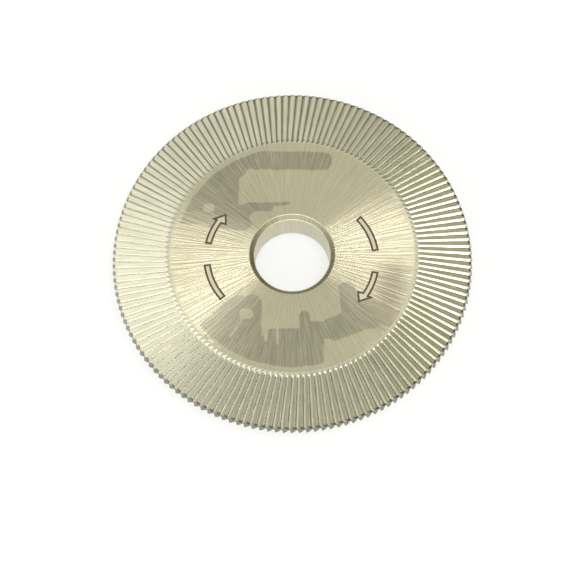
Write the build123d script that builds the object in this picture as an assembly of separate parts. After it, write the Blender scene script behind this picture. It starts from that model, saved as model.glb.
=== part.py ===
from build123d import *
import os
from math import cos, pi, radians, sin, sqrt, tan

os.makedirs("parts", exist_ok=True)

# Key cutter wheel: a one-piece steel side cutter for key duplicating machines.
# Millimetres. The origin is on the bore axis in the flat rear face, and +Z points
# out of the front face, the one with the ring of side teeth.
# Seen from the front the wheel cuts turning clockwise.

# Blank
outer_diameter = 60.0        # over the widest edge, where rim and flank meet
thickness = 7.3
bore_diameter = 12.7         # runs on a half-inch arbor
bore_chamfer = 0.8           # 45 degrees, both ends
rim_edge_drop = 1.6          # the widest edge lies this far below the front face
rim_angle = 74.0             # steep rim above that edge, from the wheel's plane
flank_angle = 45.0           # rear flank, from the wheel's plane

# Teeth
tooth_count = 150
tooth_offset = 1.7           # each cutting edge passes the axis at this distance
face_teeth_lead = 0.25       # share of a pitch by which front teeth run ahead of flank teeth
face_teeth_inner_radius = 20.4
face_land = 0.17             # flat left on top of each front tooth
flank_overlap = 0.03         # flank gullets overlap by this, so flank teeth end in a ridge
rake_wall_angle = 65.0       # steep wall under the cutting edge, from the surface
back_slope_angle = 31.0      # gentle back of the tooth ahead, from the surface
rim_depth_at_face = 0.12     # of a gullet down the rim, where it leaves the front face
rim_depth_at_flank = 0.42    # and where it meets the flank
run_out_length = 0.85        # over which a front gullet rises to the face
run_out_facets = 4

# The gullet cutters reach past the blank and stand above its surface
cutter_reach = 1.0
cutter_height = 0.05

rim_radius = outer_diameter / 2
bore_radius = bore_diameter / 2
rim_edge_z = thickness - rim_edge_drop
face_radius = rim_radius - rim_edge_drop / tan(radians(rim_angle))
rear_radius = rim_radius - rim_edge_z / tan(radians(flank_angle))
lead_angle = face_teeth_lead * 360 / tooth_count
cot_wall = 1 / tan(radians(rake_wall_angle))
cot_back = 1 / tan(radians(back_slope_angle))


def turned_blank():
    """Turned disc: bore with two chamfers, flat faces, steep rim and rear flank."""
    half_section = Polyline(
        (bore_radius + bore_chamfer, 0),
        (rear_radius, 0),
        (rim_radius, rim_edge_z),
        (face_radius, thickness),
        (bore_radius + bore_chamfer, thickness),
        (bore_radius, thickness - bore_chamfer),
        (bore_radius, bore_chamfer),
        close=True,
    )
    return revolve(Plane.XZ * make_face(half_section), Axis.Z)


def gullet_depth(radius, land):
    """Depth at which neighbouring gullets leave that land between them at that radius."""
    pitch = 2 * pi * radius / tooth_count
    return (pitch - land) / (cot_wall + cot_back)


def flat_face(*corners):
    return make_face(Polyline(*corners, close=True)).face()


def along_edge(radius):
    """Distance out along a cutting edge, which passes the axis at the tooth offset."""
    return sqrt(radius**2 - tooth_offset**2)


def gullet_cutter(start, along, outward, stations):
    """Flat-sided cutter for one gullet. It starts on the cutting edge and has a V
    section at each station: a distance along the edge and a depth under the surface."""
    sections = []
    for distance, depth in stations:
        corners = (
            (cutter_height * cot_wall, cutter_height),
            (-depth * cot_wall, -depth),
            (-depth * (cot_wall + cot_back) - cutter_height * cot_back, cutter_height),
        )
        on_edge = start + along * distance
        sections.append([on_edge + Vector(0, across, 0) + outward * height for across, height in corners])
    sides = [flat_face(*sections[0]), flat_face(*sections[-1])]
    for near, far in zip(sections, sections[1:]):
        for this, following in ((0, 1), (1, 2), (2, 0)):
            sides.append(flat_face(near[this], near[following], far[following], far[this]))
    return Solid(Shell(sides))


def face_gullet_cutter():
    """Gullet between two front teeth, rising in a curve to its pointed inner end."""
    inner = along_edge(face_teeth_inner_radius)
    full_depth = gullet_depth(face_teeth_inner_radius + run_out_length, face_land)
    stations = []
    for step in range(run_out_facets + 1):
        share = step / run_out_facets
        stations.append((inner + run_out_length * share, full_depth * (1 - (1 - share) ** 2)))
    outer_radius = rim_radius + cutter_reach
    stations.append((along_edge(outer_radius), gullet_depth(outer_radius, face_land)))
    start = Vector(0, tooth_offset, thickness)
    return gullet_cutter(start, Vector(1, 0, 0), Vector(0, 0, 1), stations)


def rim_gullet_cutter():
    """Slanting gullet down the rim, from a front cutting edge to a flank cutting edge."""
    upper = Vector(along_edge(face_radius), tooth_offset, thickness).rotate(Axis.Z, -lead_angle)
    lower = Vector(along_edge(rim_radius), tooth_offset, rim_edge_z)
    length = (lower - upper).length
    deepening = (rim_depth_at_flank - rim_depth_at_face) / length
    stations = []
    for distance in (-2 * cutter_height, length + cutter_reach):
        stations.append((distance, rim_depth_at_face + distance * deepening))
    rise = radians(rim_angle)
    return gullet_cutter(upper, (lower - upper).normalized(), Vector(sin(rise), 0, cos(rise)), stations)


def flank_gullet_cutter():
    """Gullet between two flank teeth, open at the rim and at the rear face."""
    fall = radians(flank_angle)
    length = rim_edge_z / sin(fall)
    stations = []
    for distance in (-cutter_reach, length + cutter_reach):
        radius = rim_radius - distance * cos(fall)
        stations.append((distance, gullet_depth(radius, -flank_overlap)))
    start = Vector(along_edge(rim_radius), tooth_offset, rim_edge_z)
    along = Vector(-cos(fall), 0, -sin(fall))
    outward = Vector(sin(fall), 0, -cos(fall))
    return gullet_cutter(start, along, outward, stations)


def ring_of(cutter, turn=0.0):
    return PolarLocations(0, tooth_count, turn) * cutter


wheel = turned_blank()
wheel -= ring_of(face_gullet_cutter(), -lead_angle)
wheel -= ring_of(rim_gullet_cutter())
wheel -= ring_of(flank_gullet_cutter())

export_step(wheel, "parts/cutter_wheel.step")
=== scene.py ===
import bpy
from math import cos, pi, radians, sin, tan
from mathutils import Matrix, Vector


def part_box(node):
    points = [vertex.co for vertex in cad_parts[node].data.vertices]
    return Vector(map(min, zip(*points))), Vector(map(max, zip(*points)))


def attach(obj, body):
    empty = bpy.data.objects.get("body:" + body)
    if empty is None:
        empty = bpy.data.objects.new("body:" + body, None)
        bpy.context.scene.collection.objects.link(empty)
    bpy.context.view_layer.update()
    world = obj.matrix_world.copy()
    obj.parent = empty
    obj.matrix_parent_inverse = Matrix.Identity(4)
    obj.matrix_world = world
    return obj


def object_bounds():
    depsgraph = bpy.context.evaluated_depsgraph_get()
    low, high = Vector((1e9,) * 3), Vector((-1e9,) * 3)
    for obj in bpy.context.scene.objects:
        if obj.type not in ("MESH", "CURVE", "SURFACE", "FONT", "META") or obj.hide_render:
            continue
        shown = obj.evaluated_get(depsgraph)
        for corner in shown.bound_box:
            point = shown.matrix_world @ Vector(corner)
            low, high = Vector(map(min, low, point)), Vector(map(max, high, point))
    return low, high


# Key cutter wheel, lying on a pale table with its front face up
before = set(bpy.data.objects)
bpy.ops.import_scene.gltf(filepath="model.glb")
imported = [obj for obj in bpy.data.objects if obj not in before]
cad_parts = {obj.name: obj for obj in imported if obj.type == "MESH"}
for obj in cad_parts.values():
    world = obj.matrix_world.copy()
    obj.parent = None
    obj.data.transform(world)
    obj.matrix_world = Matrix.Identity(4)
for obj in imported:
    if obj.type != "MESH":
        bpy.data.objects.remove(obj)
cadLow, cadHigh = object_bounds()
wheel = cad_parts["cutter_wheel"]
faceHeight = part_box("cutter_wheel")[1].z
mm = 0.001


# Short ways to add and link shader nodes

def nodeOf(tree, kind, **settings):
    node = tree.nodes.new(kind)
    for name, value in settings.items():
        setattr(node, name, value)
    return node


def feed(tree, socket, value):
    if isinstance(value, bpy.types.NodeSocket):
        tree.links.new(value, socket)
    elif socket.type == "RGBA":
        socket.default_value = (*value, 1)
    else:
        socket.default_value = value


def maths(tree, operation, *values):
    node = nodeOf(tree, "ShaderNodeMath", operation=operation)
    for socket, value in zip(node.inputs, values):
        feed(tree, socket, value)
    return node.outputs[0]


def vectorMaths(tree, operation, first, second=None):
    node = nodeOf(tree, "ShaderNodeVectorMath", operation=operation)
    feed(tree, node.inputs[0], first)
    if second is not None:
        feed(tree, node.inputs["Scale" if operation == "SCALE" else 1], second)
    return node.outputs["Value" if operation == "LENGTH" else "Vector"]


def mixedColour(tree, share, first, second):
    node = nodeOf(tree, "ShaderNodeMix", data_type="RGBA")
    feed(tree, node.inputs[0], share)
    feed(tree, node.inputs[6], first)
    feed(tree, node.inputs[7], second)
    return node.outputs[2]


def mixedValue(tree, share, first, second):
    node = nodeOf(tree, "ShaderNodeMix", data_type="FLOAT")
    feed(tree, node.inputs[0], share)
    feed(tree, node.inputs[2], first)
    feed(tree, node.inputs[3], second)
    return node.outputs[0]


def stepped(tree, value, low, high):  # 0 below low, 1 above high
    node = nodeOf(tree, "ShaderNodeMapRange", interpolation_type="SMOOTHSTEP")
    feed(tree, node.inputs["Value"], value)
    feed(tree, node.inputs["From Min"], low)
    feed(tree, node.inputs["From Max"], high)
    return node.outputs[0]


def steppedDown(tree, value, low, high):  # 1 below low, 0 above high
    return maths(tree, "SUBTRACT", 1.0, stepped(tree, value, low, high))


def noise(tree, vector, scale, detail=2.0, roughness=0.5):
    node = nodeOf(tree, "ShaderNodeTexNoise")
    feed(tree, node.inputs["Vector"], vector)
    feed(tree, node.inputs["Scale"], scale)
    feed(tree, node.inputs["Detail"], detail)
    feed(tree, node.inputs["Roughness"], roughness)
    return node.outputs["Fac"]


def raised(tree, shader, height, depth):  # bumps on the surface, of that depth in millimetres
    bump = nodeOf(tree, "ShaderNodeBump")
    feed(tree, bump.inputs["Distance"], depth * mm)
    feed(tree, bump.inputs["Height"], height)
    feed(tree, shader.inputs["Normal"], bump.outputs[0])


def newMaterial(name):
    material = bpy.data.materials.new(name)
    material.use_nodes = True
    return material, material.node_tree


def newGroup(name, inputs, outputs):
    group = bpy.data.node_groups.new(name, "ShaderNodeTree")
    for label, kind in inputs.items():
        group.interface.new_socket(label, in_out="INPUT", socket_type=kind)
    for label in outputs:
        group.interface.new_socket(label, in_out="OUTPUT", socket_type="NodeSocketFloat")
    return group, nodeOf(group, "NodeGroupInput").outputs, nodeOf(group, "NodeGroupOutput").inputs


def placed(tree, group, **values):
    node = nodeOf(tree, "ShaderNodeGroup", node_tree=group)
    for name, value in values.items():
        feed(tree, node.inputs[name], value)
    return node.outputs


def aboutAxis(tree, spot):  # radius and height in millimetres, and the direction away from the axis
    inMillimetres = vectorMaths(tree, "SCALE", spot, 1 / mm)
    flat = vectorMaths(tree, "MULTIPLY", inMillimetres, (1, 1, 0))
    parts = nodeOf(tree, "ShaderNodeSeparateXYZ")
    feed(tree, parts.inputs[0], inMillimetres)
    return vectorMaths(tree, "LENGTH", flat), parts.outputs[2], vectorMaths(tree, "NORMALIZE", flat)


# Marks of the grinding wheel: fine round the axis, long towards it. Fineness is how many lie
# side by side in a radian, and breaks is how many follow each other in a millimetre.

grindLook = {"detail": 2.0, "roughness": 0.6}


def makeGrindGroup():
    look = grindLook
    group, given, wanted = newGroup(
        "grindMarks",
        {"Vector": "NodeSocketVector", "Fineness": "NodeSocketFloat", "Breaks": "NodeSocketFloat"},
        ["Marks"])
    radius, _, direction = aboutAxis(group, given["Vector"])
    around = vectorMaths(group, "SCALE", direction, given["Fineness"])
    along = nodeOf(group, "ShaderNodeCombineXYZ")
    feed(group, along.inputs[2], maths(group, "MULTIPLY", radius, given["Breaks"]))
    stretched = vectorMaths(group, "ADD", around, along.outputs[0])
    feed(group, wanted["Marks"], noise(group, stretched, 1.0, look["detail"], look["roughness"]))
    return group


# Where the front face, the toothed band, the steep rim and the bore's wall and chamfers lie,
# and how deep a spot lies in a front gullet, whose floor drops as the teeth widen outwards.
# The gullet floors and the steep rim take painted shade, and the chamfers' lips painted highlights.
# Edges are radii in millimetres, and fades are depths below the front face.

zoneLook = {
    "toothStart": 20.35,
    "rimStart": 29.3,
    "rimFade": (0.25, 0.1),
    "frontFade": (0.1, 0.05),
    "boreEdge": 6.40,
    "chamferEdge": 7.14,
    "innerLip": 6.44,
    "outerLip": 7.08,
    "soft": 0.04,
    "gulletCount": 150,
    "gulletLand": 0.17,
    "gulletSlopes": (65.0, 31.0),
    "floorStart": (0.76, 1.0),      # as shares of a gullet's depth
    "floorEnd": (1.05, 1.15),
    "smoothStart": 19.8,
}


def makeZoneGroup():
    look = zoneLook
    group, given, wanted = newGroup(
        "wheelZones", {"Vector": "NodeSocketVector"},
        ["Teeth", "PaintedRimShade", "Bore", "Chamfer", "PaintedLipHighlights", "Front", "Gullet", "Smooth", "Radius"])
    soft, toothStart, rimStart = look["soft"], look["toothStart"], look["rimStart"]
    radius, height, _ = aboutAxis(group, given["Vector"])
    faceLevel = faceHeight / mm
    frontFade = [faceLevel - drop for drop in look["frontFade"]]
    rimFade = [faceLevel - drop for drop in look["rimFade"]]
    feed(group, wanted["Radius"], radius)
    feed(group, wanted["Smooth"], stepped(group, radius, look["smoothStart"], toothStart))
    feed(group, wanted["Teeth"], stepped(group, radius, toothStart - soft, toothStart + soft))
    feed(group, wanted["Front"], stepped(group, height, *frontFade))

    # a band along each gullet's floor, darkened in the colour as painted shade
    acrossPerDepth = sum(1 / tan(radians(slope)) for slope in look["gulletSlopes"])
    widening = 2 * pi / look["gulletCount"] / acrossPerDepth
    floorDrop = maths(group, "MULTIPLY_ADD", radius, widening, -look["gulletLand"] / acrossPerDepth)
    share = maths(group, "DIVIDE", maths(group, "SUBTRACT", faceLevel, height), floorDrop)
    deep = stepped(group, share, *look["floorStart"])
    pastFloor = stepped(group, share, *look["floorEnd"])
    feed(group, wanted["Gullet"], maths(group, "SUBTRACT", deep, pastFloor))

    # the steep rim below the face edge, darkened in the colour as painted shade
    nearEdge = stepped(group, radius, rimStart - soft, rimStart + soft)
    underFace = steppedDown(group, height, *rimFade)
    feed(group, wanted["PaintedRimShade"], maths(group, "MULTIPLY", nearEdge, underFace))
    inBore = steppedDown(group, radius, look["boreEdge"] - soft, look["boreEdge"])
    inChamfer = steppedDown(group, radius, look["chamferEdge"] - soft, look["chamferEdge"])
    feed(group, wanted["Bore"], inBore)
    feed(group, wanted["Chamfer"], maths(group, "SUBTRACT", inChamfer, inBore))
    # thin light lines at the chamfers' inner and outer edges, painted highlights
    innerLip = steppedDown(group, radius, look["innerLip"], look["innerLip"] + soft)
    outerLip = stepped(group, radius, look["outerLip"] - soft, look["outerLip"])
    feed(group, wanted["PaintedLipHighlights"], maths(group, "ADD", innerLip, outerLip))
    return group


# Patches where the oil has drawn back from the steel, drops left in them, and a patch of painted
# shade that dims the gleam, all rounded boxes: across, away, half length, half width in millimetres,
# turn in degrees, and corner radius

filmLook = {
    "bare": {
        "behindStrip": (-1.7, 17.0, 8.4, 1.7, -1, 1.4),
        "behindLink": (-10.8, 15.2, 2.6, 1.6, 30, 0.8),
        "behindCorner": (-9.4, 15.0, 1.7, 1.3, 45, 0.8),
        "left": (-14.6, 10.3, 5.6, 5.0, 0, 0.6),
        "leftTongue": (-10.6, 6.7, 4.0, 2.3, -7, 1.5),
        "finger": (-5.6, 8.4, 2.4, 0.8, 0, 0.4),
        "fingerTip": (-2.4, 8.9, 2.0, 0.25, 5, 0.25),
        "frontLeftHead": (-7.5, -11.5, 2.5, 4.2, 0, 1.2),
        "frontLeftWing": (-11.0, -11.9, 4.2, 2.4, 45, 1.0),
        "frontLeftRim": (-7.5, -15.8, 5.5, 2.6, -28, 1.0),
        "frontMiddle": (0.2, -16.6, 4.9, 3.6, 0, 1.0),
        "frontPeak": (2.0, -12.0, 0.85, 1.9, 0, 0.7),
        "frontRight": (5.2, -13.3, 3.2, 1.5, 0, 0.8),
        "rightPeak": (9.2, -8.6, 1.35, 3.6, 6, 1.2),
        "rightWing": (11.8, -9.8, 3.4, 2.1, -29, 1.1),
        "rightFoot": (9.6, -12.0, 4.2, 2.0, 20, 1.0),
    },
    "drops": {
        "left": (-14.0, 8.2, 0.95, 0.8, 0, 0.8),
        "tongue": (-6.2, 6.4, 1.0, 0.95, 0, 0.95),
        "front": (-7.5, -10.5, 1.15, 0.9, -10, 0.9),
        "frontTrail": (-9.0, -12.7, 2.1, 0.22, 58, 0.22),
        "frontStreak": (-4.4, -12.4, 0.32, 2.7, 3, 0.3),
        "frontRun": (-2.4, -14.2, 0.2, 1.6, 0, 0.2),
    },
    # a patch of painted shade that dims the gleam on the front face, right of the bore
    "paintedShade": (15.9, -7.6, 2.4, 5.6, -12, 2.4),
    "paintedShadeSoftness": 2.2,
    "outerRadius": 19.5,
    "merge": 0.5,
    "dropMerge": 0.25,
    "wander": 0.3,
    "wandersPerMm": 0.9,
    "wanderDetail": 3.0,
    "softness": 0.14,
}


def boxDistance(tree, spot, box):  # how far outside a rounded box, in millimetres, at any height
    across, away, halfLength, halfWidth, turn, corner = box
    halfHeight = 1000
    inBox = nodeOf(tree, "ShaderNodeMapping", vector_type="TEXTURE")
    feed(tree, inBox.inputs["Vector"], spot)
    inBox.inputs["Location"].default_value = (across * mm, away * mm, faceHeight)
    inBox.inputs["Rotation"].default_value = (0, 0, radians(turn))
    inBox.inputs["Scale"].default_value = (mm, mm, mm)
    beyond = vectorMaths(tree, "ABSOLUTE", inBox.outputs[0])
    beyond = vectorMaths(tree, "SUBTRACT", beyond, (halfLength - corner, halfWidth - corner, halfHeight))
    beyond = vectorMaths(tree, "LENGTH", vectorMaths(tree, "MAXIMUM", beyond, (0, 0, 0)))
    return maths(tree, "SUBTRACT", beyond, corner)


def makeFilmGroup():
    look = filmLook
    group, given, wanted = newGroup("oilFilm", {"Vector": "NodeSocketVector"}, ["Bare", "PaintedShade"])
    softness, paintedShadeSoftness = look["softness"], look["paintedShadeSoftness"]
    spot = given["Vector"]
    distances = [boxDistance(group, spot, box) for box in look["bare"].values()]
    nearest = distances[0]
    for distance in distances[1:]:
        nearest = maths(group, "SMOOTH_MIN", nearest, distance, look["merge"])
    radius, _, _ = aboutAxis(group, spot)
    pastRadius = maths(group, "SUBTRACT", radius, look["outerRadius"])
    nearest = maths(group, "SMOOTH_MAX", nearest, pastRadius, look["merge"])
    for box in look["drops"].values():
        inside = maths(group, "MULTIPLY", boxDistance(group, spot, box), -1.0)
        nearest = maths(group, "SMOOTH_MAX", nearest, inside, look["dropMerge"])
    wander = noise(group, spot, look["wandersPerMm"] / mm, look["wanderDetail"])
    wander = maths(group, "MULTIPLY", maths(group, "SUBTRACT", wander, 0.5), look["wander"] * 2)
    edge = maths(group, "ADD", nearest, wander)
    feed(group, wanted["Bare"], steppedDown(group, edge, -softness, softness))
    # mask of the painted shade patch
    paintedShadeEdge = boxDistance(group, spot, look["paintedShade"])
    feed(group, wanted["PaintedShade"], steppedDown(group, paintedShadeEdge, -paintedShadeSoftness, paintedShadeSoftness))
    return group


grindGroup = makeGrindGroup()
zoneGroup = makeZoneGroup()
filmGroup = makeFilmGroup()


# The wheel: ground steel under a thin yellowish film of oil, with painted shade and painted highlights

steelLook = {
    "oiled": (0.57, 0.54, 0.39),
    "bare": (0.41, 0.39, 0.295),
    "teeth": (0.62, 0.61, 0.505),
    # painted shade on the gullet floors
    "gullet": (0.29, 0.28, 0.22),
    # painted shade on the steep rim
    "rim": (0.25, 0.25, 0.205),
    # painted shade, dimming the gleam within that patch
    "paintedShade": (0.35, 0.32, 0.235),
    "bore": (0.58, 0.55, 0.385),
    "chamfer": (0.35, 0.335, 0.245),
    # painted highlights along the chamfers' edges
    "paintedLipHighlight": (0.70, 0.68, 0.54),
    "oiledRoughness": 0.30,
    "bareRoughness": 0.38,
    "toothRoughness": 0.21,
    "boreRoughness": 0.30,
    "chamferRoughness": 0.40,
    "anisotropy": 0.9,
    "gulletTurn": 0.25,      # of a turn: the gleam in the gullets lies across that on the face
    "gulletTop": 0.01,       # millimetres below the face
    "broadMarks": {"Fineness": 40.0, "Breaks": 0.06},
    "fineMarks": {"Fineness": 150.0, "Breaks": 0.25},
    "fineShare": 0.3,
    "markDepth": 0.10,
    "toothMarkShare": 0.05,
    "hollow": 0.02,          # outward slope of the face's marks, as it is ground a little hollow
    "toothRise": 0.03,       # and of the gullets' marks
    "markShade": 0.10,
    "bareMarkShade": 0.24,
    "shadeRange": (0.3, 0.7),
}


def steelColour(tree, zones, bare, paintedShade, fine):
    look = steelLook
    colour = mixedColour(tree, bare, look["oiled"], look["bare"])
    colour = mixedColour(tree, paintedShade, colour, look["paintedShade"])
    # the chamfers' colour with painted highlights along their edges
    chamfer = mixedColour(tree, zones["PaintedLipHighlights"], look["chamfer"], look["paintedLipHighlight"])
    zoneColours = {
        "Teeth": look["teeth"],
        "Gullet": look["gullet"],
        "PaintedRimShade": look["rim"],
        "Chamfer": chamfer,
        "Bore": look["bore"],
    }
    for zone, zoneColour in zoneColours.items():
        colour = mixedColour(tree, zones[zone], colour, zoneColour)
    depth = mixedValue(tree, bare, look["markShade"], look["bareMarkShade"])
    shade = maths(tree, "SUBTRACT", stepped(tree, fine, *look["shadeRange"]), 0.5)
    shade = maths(tree, "MULTIPLY_ADD", shade, maths(tree, "MULTIPLY", depth, 2.0), 1.0)
    return vectorMaths(tree, "SCALE", colour, shade)


def steelRoughness(tree, zones, bare):
    look = steelLook
    roughness = mixedValue(tree, bare, look["oiledRoughness"], look["bareRoughness"])
    for zone, part in (("Teeth", "tooth"), ("Chamfer", "chamfer"), ("Bore", "bore")):
        roughness = mixedValue(tree, zones[zone], roughness, look[part + "Roughness"])
    return roughness


def steelMarks(tree, zones, broad, fine):  # their height, as a share of the depth
    look = steelLook
    middle = 0.5 * (1 + look["fineShare"])
    marks = maths(tree, "MULTIPLY_ADD", fine, look["fineShare"], broad)
    marks = maths(tree, "SUBTRACT", marks, middle)
    smoothed = mixedValue(tree, zones["Smooth"], 1.0, look["toothMarkShare"])
    slopes = [look[part] / look["markDepth"] for part in ("hollow", "toothRise")]
    outward = maths(tree, "SUBTRACT", zones["Radius"], zoneLook["toothStart"])
    rise = maths(tree, "MULTIPLY", outward, mixedValue(tree, zones["Teeth"], *slopes))
    return maths(tree, "MULTIPLY_ADD", marks, smoothed, rise)


def turnInGullets(tree, spot):  # worked out in the material, since no group feeds a turn
    look = steelLook
    radius, height, _ = aboutAxis(tree, spot)
    amongTeeth = maths(tree, "GREATER_THAN", radius, zoneLook["toothStart"])
    underFace = maths(tree, "LESS_THAN", height, faceHeight / mm - look["gulletTop"])
    return maths(tree, "MULTIPLY", maths(tree, "MULTIPLY", amongTeeth, underFace), look["gulletTurn"])


def makeSteel():
    look = steelLook
    steel, tree = newMaterial("groundSteel")
    shader = tree.nodes["Principled BSDF"]
    spot = nodeOf(tree, "ShaderNodeTexCoord").outputs["Object"]
    zones = placed(tree, zoneGroup, Vector=spot)
    broad = placed(tree, grindGroup, Vector=spot, **look["broadMarks"])["Marks"]
    fine = placed(tree, grindGroup, Vector=spot, **look["fineMarks"])["Marks"]
    film = placed(tree, filmGroup, Vector=spot)
    bare = maths(tree, "MULTIPLY", film["Bare"], zones["Front"])
    paintedShade = maths(tree, "MULTIPLY", film["PaintedShade"], zones["Front"])

    feed(tree, shader.inputs["Base Color"], steelColour(tree, zones, bare, paintedShade, fine))
    feed(tree, shader.inputs["Roughness"], steelRoughness(tree, zones, bare))
    shader.inputs["Metallic"].default_value = 1.0
    shader.inputs["Anisotropic"].default_value = look["anisotropy"]
    tangent = nodeOf(tree, "ShaderNodeTangent", direction_type="RADIAL", axis="Z")
    feed(tree, shader.inputs["Tangent"], tangent.outputs[0])
    feed(tree, shader.inputs["Anisotropic Rotation"], turnInGullets(tree, spot))
    raised(tree, shader, steelMarks(tree, zones, broad, fine), look["markDepth"])
    return steel


for slotOnWheel in wheel.material_slots:
    slotOnWheel.material = makeSteel()
print("wheel finished")


# Direction marks on the front face: an arc and an arrow on each side of the bore, in outline.
# Lengths are in millimetres. Angles are in degrees for the right-hand pair, and the left-hand
# pair is turned half round.

markLook = {
    "middle": (-0.14, -0.73),       # the marks stand a little off the bore's axis
    "arcCentre": (2.9, -0.3),       # of the right-hand pair, from that middle
    "arcRadius": 11.1,
    "halfWidth": 0.6,
    "line": 0.34,
    "thickness": 0.03,
    "arc": (7.6, 41.9),
    "arrow": (-11.1, -33.0),
    "arrowHead": {"outer": (12.45, -32.4), "inner": (9.61, -35.1), "tip": (11.0, -43.6)},
    "arcSteps": 14,
    "nearness": 0.01,
    "lineFinish": {"colour": (0.095, 0.072, 0.042), "roughness": 0.6, "metallic": 0.4},
    "fillFinish": {"colour": (0.60, 0.55, 0.44), "roughness": 0.55, "metallic": 1.0},
    "shades": (0.82, 1.15),         # of those colours, where the grain is darkest and lightest
    "roughnessSpread": 0.06,
    "grainsPerMm": 6.0,
    "grainRange": (0.3, 0.7),
    "grainDepth": 0.003,
    "grindMarks": {"Fineness": 160.0, "Breaks": 0.5},
}


def makeEtched(name, colour, roughness, metallic):
    look = markLook
    etched, tree = newMaterial(name)
    shader = tree.nodes["Principled BSDF"]
    spot = nodeOf(tree, "ShaderNodeTexCoord").outputs["Object"]
    grain = stepped(tree, noise(tree, spot, look["grainsPerMm"] / mm), *look["grainRange"])
    lines = placed(tree, grindGroup, Vector=spot, **look["grindMarks"])["Marks"]
    mottle = maths(tree, "MULTIPLY", maths(tree, "ADD", grain, lines), 0.5)
    darkest, lightest = ([part * shade for part in colour] for shade in look["shades"])
    smoothest, roughest = roughness - look["roughnessSpread"], roughness + look["roughnessSpread"]
    feed(tree, shader.inputs["Base Color"], mixedColour(tree, mottle, darkest, lightest))
    feed(tree, shader.inputs["Roughness"], mixedValue(tree, grain, smoothest, roughest))
    shader.inputs["Metallic"].default_value = metallic
    raised(tree, shader, grain, look["grainDepth"])
    return etched


etchedLine = makeEtched("etchedLine", **markLook["lineFinish"])
etchedFill = makeEtched("etchedFill", **markLook["fillFinish"])


def pickVertices(piece, wanted):
    bpy.ops.mesh.select_all(action="DESELECT")
    bpy.ops.object.mode_set(mode="OBJECT")
    for vertex in piece.data.vertices:
        vertex.select = wanted(vertex.co)
    bpy.ops.object.mode_set(mode="EDIT")


def isNear(spots):
    return lambda place: any((place - spot).length < markLook["nearness"] * mm for spot in spots)


def makeMark(name, turn, ends, head=None):
    look = markLook
    sign = -1 if turn else 1
    flat = [(middle + sign * shift) * mm for middle, shift in zip(look["middle"], look["arcCentre"])]
    centre = Vector(flat + [faceHeight])

    def onMark(radius, angle):
        turned = radians(angle + turn)
        return centre + Vector((cos(turned), sin(turned), 0)) * radius * mm

    arcRadius, halfWidth = look["arcRadius"], look["halfWidth"]
    start, end = ends
    startSpot = onMark(arcRadius, start)
    bpy.ops.object.select_all(action="DESELECT")
    bpy.ops.mesh.primitive_plane_add(
        size=2 * halfWidth * mm, location=startSpot, rotation=(0, 0, radians(start + turn)))
    mark = bpy.context.object
    mark.name = name
    bpy.ops.object.transform_apply(location=True, rotation=True, scale=True)

    # two of the plane's corners go, and the edge that is left is moved to the start and spun round
    across = startSpot - centre
    along = Vector((-across.y, across.x, 0)).normalized()
    bpy.ops.object.mode_set(mode="EDIT")
    pickVertices(mark, lambda place: (place - startSpot).dot(along) > 0)
    bpy.ops.mesh.delete(type="VERT")
    bpy.ops.mesh.select_all(action="SELECT")
    bpy.ops.transform.translate(value=along * halfWidth * mm)
    bpy.ops.mesh.spin(steps=look["arcSteps"], angle=radians(start - end), center=centre, axis=(0, 0, 1))

    if head:
        innerEnd, outerEnd = onMark(arcRadius - halfWidth, end), onMark(arcRadius + halfWidth, end)
        corners = [innerEnd] + [onMark(*head[part]) for part in ("inner", "tip", "outer")]
        pickVertices(mark, isNear([innerEnd]))
        for corner, following in zip(corners, corners[1:]):
            bpy.ops.mesh.extrude_region_move(TRANSFORM_OT_translate={"value": following - corner})
        pickVertices(mark, isNear(corners + [outerEnd]))
        bpy.ops.mesh.edge_face_add()

    mark.data.materials.append(etchedLine)
    mark.data.materials.append(etchedFill)
    bpy.ops.mesh.select_all(action="SELECT")
    bpy.ops.mesh.normals_make_consistent(inside=False)
    bpy.ops.mesh.inset(thickness=look["line"] * mm, use_even_offset=True, use_boundary=True)
    mark.active_material_index = 1
    bpy.ops.object.material_slot_assign()
    bpy.ops.object.mode_set(mode="OBJECT")

    plate = mark.modifiers.new("plate", "SOLIDIFY")
    plate.thickness = look["thickness"] * mm
    plate.offset = 0
    bpy.ops.object.modifier_apply(modifier=plate.name)
    bpy.ops.object.mode_set(mode="EDIT")
    bpy.ops.mesh.select_all(action="SELECT")
    bpy.ops.mesh.normals_make_consistent(inside=False)
    bpy.ops.object.mode_set(mode="OBJECT")
    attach(mark, "root")


for side, turn in (("right", 0), ("left", 180)):
    makeMark(side + "Arc", turn, markLook["arc"])
    makeMark(side + "Arrow", turn, markLook["arrow"], markLook["arrowHead"])
print("direction marks made")


# Pale table top

floorLook = {"size": 12.0, "colour": (0.90, 0.90, 0.89), "paleness": 0.7}


def makeFloor():
    look = floorLook
    paint, tree = newMaterial("tableTop")
    tree.nodes.clear()
    matt = nodeOf(tree, "ShaderNodeBsdfDiffuse")
    feed(tree, matt.inputs["Color"], look["colour"])
    glow = nodeOf(tree, "ShaderNodeEmission")
    path = nodeOf(tree, "ShaderNodeLightPath").outputs
    seen = maths(tree, "MAXIMUM", path["Is Camera Ray"], path["Is Glossy Ray"])
    seen = maths(tree, "MAXIMUM", seen, path["Is Transmission Ray"])
    both = nodeOf(tree, "ShaderNodeMixShader")
    feed(tree, both.inputs[0], maths(tree, "MULTIPLY", seen, look["paleness"]))
    feed(tree, both.inputs[1], matt.outputs[0])
    feed(tree, both.inputs[2], glow.outputs[0])
    feed(tree, nodeOf(tree, "ShaderNodeOutputMaterial").inputs[0], both.outputs[0])
    bpy.ops.object.select_all(action="DESELECT")
    bpy.ops.mesh.primitive_plane_add(size=look["size"], location=(0, 0, cadLow[2]))
    floor = bpy.context.object
    floor.name = "tableTop"
    floor.data.materials.append(paint)


makeFloor()
print("table top made")


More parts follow.
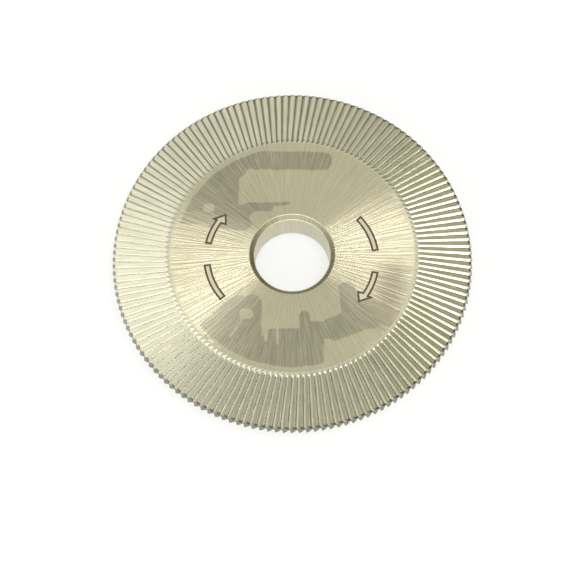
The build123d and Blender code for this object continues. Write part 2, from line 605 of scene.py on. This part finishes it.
# Light: a pale room, darker behind the wheel, and two softboxes almost straight above

lightLook = {
    "front": 2.0,
    "side": 0.78,
    "behind": 0.3,
    "leftGain": 0.24,
    "overhead": 0.86,
    "fromFront": (-0.8, -0.2),    # how far away the front wall turns into the sides
    "toBehind": (0.5, 1.0),       # and the sides into the wall behind
    "wallTop": (0.66, 0.84),      # how high the walls turn into the ceiling
    "tint": (1.0, 0.985, 0.90),
    "softboxPlaces": {"right": (0.215, -0.17, 0.962), "left": (-0.12, -0.17, 0.978)},
    "softboxDistance": 0.6,
    "softboxSize": 0.16,
    "softboxPower": {"right": 0.88, "left": 0.55},
}


def makeLight():
    look = lightLook
    world = bpy.data.worlds.new("paleRoom")
    world.use_nodes = True
    bpy.context.scene.world = world
    tree = world.node_tree
    parts = nodeOf(tree, "ShaderNodeSeparateXYZ")
    feed(tree, parts.inputs[0], nodeOf(tree, "ShaderNodeTexCoord").outputs["Generated"])
    across, away, up = parts.outputs
    horizon = mixedValue(tree, stepped(tree, away, *look["fromFront"]), look["front"], look["side"])
    horizon = mixedValue(tree, stepped(tree, away, *look["toBehind"]), horizon, look["behind"])
    horizon = maths(tree, "SUBTRACT", horizon, maths(tree, "MULTIPLY", across, look["leftGain"]))
    level = mixedValue(tree, stepped(tree, up, *look["wallTop"]), horizon, look["overhead"])
    background = tree.nodes["Background"]
    feed(tree, background.inputs["Color"], look["tint"])
    feed(tree, background.inputs["Strength"], level)

    for name, place in look["softboxPlaces"].items():
        softbox = bpy.data.lights.new(name + "Softbox", "AREA")
        softbox.size = look["softboxSize"]
        softbox.energy = look["softboxPower"][name]
        stand = bpy.data.objects.new(name + "Softbox", softbox)
        bpy.context.collection.objects.link(stand)
        stand.location = Vector(place) * look["softboxDistance"]
        stand.rotation_euler = Vector(place).to_track_quat("Z", "Y").to_euler()
        stand.visible_camera = False


makeLight()
print("lights set")


# Camera where the photograph was taken from

cameraLook = {
    "distance": 0.2067,
    "elevation": 68.794,
    "lens": 77.99,
    "sensorWidth": 36,
    "clipStart": 0.01,
    "nod": 1.581,            # degrees that it aims below the middle of the face
    "swing": 0.195,          # degrees that it aims to the left of it
}


def makeCamera():
    look = cameraLook
    lens = bpy.data.cameras.new("photoView")
    lens.lens = look["lens"]
    lens.sensor_width = look["sensorWidth"]
    lens.clip_start = look["clipStart"]
    stand = bpy.data.objects.new("photoView", lens)
    bpy.context.collection.objects.link(stand)
    elevation = radians(look["elevation"])
    fromFace = Vector((0, -cos(elevation), sin(elevation))) * look["distance"]
    stand.location = fromFace + Vector((0, 0, faceHeight))
    stand.rotation_mode = "YXZ"
    stand.rotation_euler = (radians(90 - look["elevation"] - look["nod"]), radians(look["swing"]), 0)
    bpy.context.scene.camera = stand


makeCamera()
bpy.context.scene.view_settings.view_transform = "Standard"
print("camera set")
